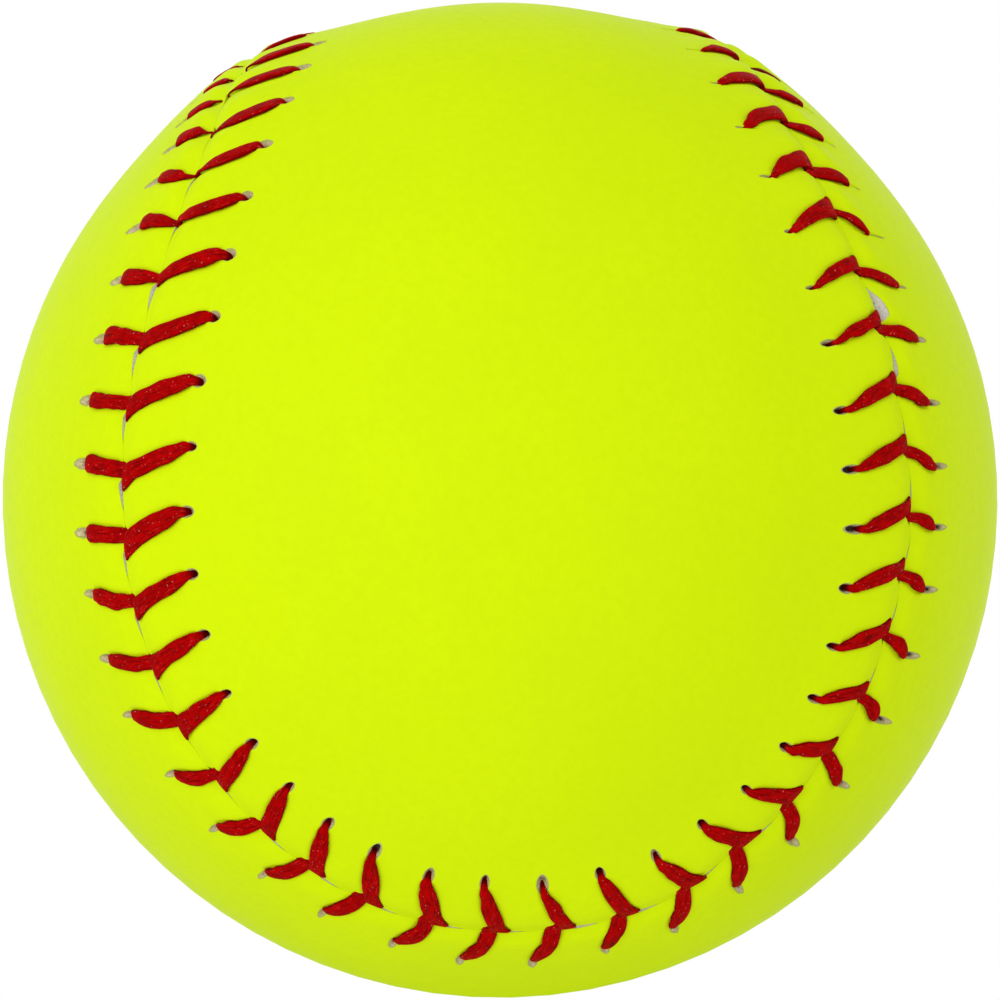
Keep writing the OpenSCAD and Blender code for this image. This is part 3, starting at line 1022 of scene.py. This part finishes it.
def cover_material():
    material, tree, shader = new_material("optic_yellow_leather")
    place = object_place(tree)
    bare, painted_shade = mark(tree, "bare"), mark(tree, "painted_shade")
    fine = noise(tree, place, fine_mm * mm, 3, 0.6)
    fuzz = noise(tree, place, fuzz_mm * mm, 3, 0.7)
    edge = ranged(tree, maths(tree, "ADD", bare, centred(tree, fuzz, 0.7)), 0.2, 0.75, 0, 1)
    raw = raw_leather(tree, place, fuzz, bare, painted_shade)
    colour = blend_colours(tree, edge, leather_yellow(tree, place, fine), raw)
    # Painted shade line where the outside turns down into a pit or the slit
    rim = maths(tree, "MULTIPLY", ranged(tree, bare, 0.2, 0.5, 0, 1), ranged(tree, bare, 0.5, 0.9, 0.45, 0))
    colour = blend_colours(tree, rim, colour, painted_rim_shade)
    roughness = ranged(tree, maths(tree, "ADD", fine, bare), 0.3, 1.3, 0.26, 0.9)
    grain = bump(tree, fine, 0.02 * mm, 0.5)
    shade(tree, shader, colour, roughness,
          bump(tree, maths(tree, "MULTIPLY", fuzz, edge), 0.12 * mm, 0.8, Normal=grain))
    shader.inputs["Specular IOR Level"].default_value = leather_specular
    return material


# Thread: drawn fibres, blotches, painted highlights in flecks and glints, painted shade at its sides and
# sunk ends

red_dark, red_light = (0.13, 0.0002, 0.0004, 1), (0.49, 0.0003, 0.0006, 1)
# Painted highlights: pale flecks along the fibres and small glints
painted_fleck_highlight, painted_glint_highlight, red_blotch = (0.72, 0.06, 0.05, 1), (0.8, 0.42, 0.38, 1), (0.2, 0.0002, 0.0004, 1)
# Painted shade on the thread's thin sides and where it sinks in below the cover
red_side_shade, red_sunk_shade = (0.1, 0.0002, 0.0003, 1), (0.04, 0.0005, 0.002, 1)
fibre_draw = (1, 1, 0.14)
fibre_mm, highlight_fleck_mm, painted_glint_mm, blotch_mm = 0.2, 0.125, 1 / 4.5, 0.625
thread_specular = 0.012


def thread_material():
    material, tree, shader = new_material("waxed_red_thread")
    strand = mark(tree, "strand", "Vector")
    drawn = add_node(tree, "ShaderNodeMapping", Vector=strand, Scale=fibre_draw).outputs[0]
    fibres = noise(tree, drawn, fibre_mm, 4, 0.65)
    highlight_flecks = noise(tree, drawn, highlight_fleck_mm, 2)
    painted_glints = noise(tree, strand, painted_glint_mm, 1)
    blotches = noise(tree, strand, blotch_mm, 3, 0.6)
    thick_way = add_node(tree, "ShaderNodeSeparateXYZ", Vector=strand).outputs["Y"]
    red = blend_colours(tree, ranged(tree, fibres, 0.3, 0.52, 0, 1), red_dark, red_light)
    for value, low, high, to_low, to_high, other in (
        # Painted highlights in flecks and glints
        (highlight_flecks, 0.62, 0.76, 0, 0.45, painted_fleck_highlight),
        (painted_glints, 0.70, 0.78, 0, 0.7, painted_glint_highlight),
        (blotches, 0.35, 0.6, 0.5, 0, red_blotch),
        # Painted shade on the thin sides of the flattened strand
        (maths(tree, "ABSOLUTE", thick_way), 0.02, 0.14, 0.75, 0, red_side_shade),
        # Painted shade where the thread sinks in
        (mark(tree, "sunk_shade"), 0.5, 1, 0, 0.7, red_sunk_shade),
    ):
        red = blend_colours(tree, ranged(tree, value, low, high, to_low, to_high), red, other)
    roughness = ranged(tree, fibres, *wide_band, 0.34, 0.55)
    shade(tree, shader, red, roughness, bump(tree, fibres, 0.06 * mm, 0.7))
    shader.inputs["Specular IOR Level"].default_value = thread_specular
    return material


# Inner pieces: foam cells on the core, crossing turns of yarn on the winding and brushed cement

core_dark, core_light = (0.82, 0.74, 0.56, 1), (0.88, 0.82, 0.68, 1)
yarn_dark, yarn_light = (0.52, 0.5, 0.44, 1), (0.86, 0.85, 0.8, 1)
cement_dark, cement_light = (0.72, 0.64, 0.42, 1), (0.84, 0.78, 0.58, 1)
cell_mm, tone_mm, yarn_patch_mm, brush_mm = 0.6, 9, 16, 5
yarn_scales = (170.0, 190.0)
yarn_turn = (0.6, 0.9, 0.2)


def core_material():
    material, tree, shader = new_material("moulded_polyurethane")
    place = object_place(tree)
    cells = add_node(tree, "ShaderNodeTexVoronoi", Vector=place, Scale=1 / (cell_mm * mm))
    tone = noise(tree, place, tone_mm * mm, 3)
    colour = blend_colours(tree, ranged(tree, tone, *wide_band, 0, 1), core_dark, core_light)
    roughness = ranged(tree, tone, *wide_band, 0.6, 0.75)
    shade(tree, shader, colour, roughness, bump(tree, cells.outputs["Distance"], 0.05 * mm, 0.5))
    return material


def winding_material():
    material, tree, shader = new_material("wound_yarn")
    place = object_place(tree)
    turned = add_node(tree, "ShaderNodeMapping", Vector=place, Rotation=yarn_turn).outputs[0]
    first, second = (
        add_node(tree, "ShaderNodeTexWave", Vector=at, Scale=scale, Distortion=1.5, Detail=1.0)
        for at, scale in zip((place, turned), yarn_scales)
    )
    patch = ranged(tree, noise(tree, place, yarn_patch_mm * mm, 1), 0.46, 0.54, 0, 1)
    turns = blend_colours(tree, patch, first.outputs["Color"], second.outputs["Color"])
    colour = blend_colours(tree, turns, yarn_dark, yarn_light)
    roughness = ranged(tree, turns, 0, 1, 0.95, 0.8)
    shade(tree, shader, colour, roughness, bump(tree, turns, 0.3 * mm, 0.8))
    return material


def cement_material():
    material, tree, shader = new_material("dried_cement")
    brushed = noise(tree, object_place(tree), brush_mm * mm, 4, 0.6)
    colour = blend_colours(tree, ranged(tree, brushed, *wide_band, 0, 1), cement_dark, cement_light)
    roughness = ranged(tree, brushed, *wide_band, 0.35, 0.6)
    shade(tree, shader, colour, roughness, bump(tree, brushed, 0.15 * mm, 0.6))
    return material


def dress(node, material):
    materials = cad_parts[node].data.materials
    if len(materials):
        materials[0] = material
    else:
        materials.append(material)


# Studio

world_light = 0.81
# The white round the ball gives less light from behind it, as the photograph's darker rim shows
behind_from, behind_to, behind_share = 0.05, -0.6, 0.68
# The key lamp's place, by the view's axes
key_toward, key_up, key_right = 0.82, 0.13, -0.55
key_distance = 0.95
key_size = 0.6
key_watts = 2.0
floor_half = 0.9
floor_clear_band = (0.35, 0.85)
floor_colour = (0.92, 0.92, 0.92, 1)


def make_camera():
    """Makes the camera and gives the view's axes to the right, up and towards the camera."""
    toward = Vector((
        math.cos(view_azimuth) * math.cos(view_elevation),
        math.sin(view_azimuth) * math.cos(view_elevation),
        math.sin(view_elevation),
    ))
    level_right = Vector((0, 0, 1)).cross(toward).normalized()
    level_up = toward.cross(level_right)
    up = level_up * math.cos(view_roll) + level_right * math.sin(view_roll)
    right = up.cross(toward)
    data = bpy.data.cameras.new("camera")
    focal_px = ball_radius_px * math.sqrt(view_distance_share ** 2 - 1)
    data.sensor_width = sensor_width
    data.lens = focal_px / photo_width_px * sensor_width
    camera = add_object("camera", data)
    axes = Matrix((right, up, toward)).transposed().to_4x4()
    camera.matrix_world = Matrix.Translation(toward * ball_r * mm * view_distance_share) @ axes
    scene.camera = camera
    return right, up, toward


def add_lamp(name, place, size, watts):
    data = bpy.data.lights.new(name, "AREA")
    data.size = size
    data.energy = watts
    lamp = add_object(name, data)
    lamp.location = place
    lamp.rotation_mode = "QUATERNION"
    lamp.rotation_quaternion = (-Vector(place)).to_track_quat("-Z", "Y")


def light_path(tree, names):
    """One where a ray is of any of the given kinds."""
    path = add_node(tree, "ShaderNodeLightPath")
    found = path.outputs[names[0]]
    for name in names[1:]:
        found = maths(tree, "MAXIMUM", found, path.outputs[name])
    return found


def make_world(toward):
    """Plain soft light, with less from behind the ball, and a white background."""
    world = bpy.data.worlds.new("studio")
    scene.world = world
    world.use_nodes = True
    tree = world.node_tree
    tree.nodes.clear()
    seen = light_path(tree, ("Is Camera Ray", "Is Glossy Ray", "Is Transmission Ray"))
    sky = add_node(tree, "ShaderNodeTexCoord").outputs["Generated"]
    ahead = vector_maths(tree, "DOT_PRODUCT", sky, toward)
    light = ranged(tree, ahead, behind_to, behind_from, world_light * behind_share, world_light)
    strength = maths(tree, "MAXIMUM", light, seen)
    background = add_node(tree, "ShaderNodeBackground", Color=(1, 1, 1, 1), Strength=strength)
    add_node(tree, "ShaderNodeOutputWorld", Surface=background.outputs[0])


def floor_material():
    """Pale and matt from above. It fades into the white round it, is clear from below and lets the light of
    that white through to the underside of the ball.
    """
    material = bpy.data.materials.new("floor")
    material.use_nodes = True
    tree = material.node_tree
    tree.nodes.clear()
    far = vector_maths(tree, "LENGTH", object_place(tree))
    from_below = add_node(tree, "ShaderNodeNewGeometry").outputs["Backfacing"]
    clear = maths(tree, "MAXIMUM", from_below, ranged(tree, far, *floor_clear_band, 0, 1))
    clear = maths(tree, "MAXIMUM", clear, light_path(tree, ("Is Shadow Ray", "Is Diffuse Ray")))
    matt = add_node(tree, "ShaderNodeBsdfDiffuse", Color=floor_colour).outputs[0]
    open_air = add_node(tree, "ShaderNodeBsdfTransparent").outputs[0]
    mix = add_node(tree, "ShaderNodeMixShader", None, (clear, matt, open_air))
    add_node(tree, "ShaderNodeOutputMaterial", Surface=mix.outputs[0])
    return material


def make_floor():
    """The floor that the ball stands on, which shows its shadow."""
    data = bpy.data.meshes.new("floor")
    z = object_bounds()[0][2]
    corners = [(-1, -1), (1, -1), (1, 1), (-1, 1)]
    data.from_pydata([(x * floor_half, y * floor_half, z) for x, y in corners], [], [(0, 1, 2, 3)])
    data.materials.append(floor_material())
    add_object("floor", data)


scene.view_settings.view_transform = "Standard"
view_right, view_up, view_toward = make_camera()

leather, waxed = cover_material(), thread_material()
for side, name in ((front, "cover_panel_front"), (back, "cover_panel_back")):
    panel = panel_mesh(side)
    marks = {"bare": np.concatenate(panel.bare), "painted_shade": np.concatenate(panel.painted_shade)}
    points = np.concatenate(panel.points)
    make_object("stitched_" + name, points, panel.faces, marks, leather, name)
for side, name in ((front, "thread_first_needle"), (back, "thread_second_needle")):
    points, faces, marks = thread_mesh(side)
    make_object("waxed_" + name, points, faces, marks, waxed, name)
dress("polyurethane_core", core_material())
dress("yarn_winding", winding_material())
dress("cement_coat", cement_material())

make_world(view_toward)
key_place = (view_toward * key_toward + view_up * key_up + view_right * key_right) * key_distance
add_lamp("key", key_place, key_size, key_watts)
make_floor()
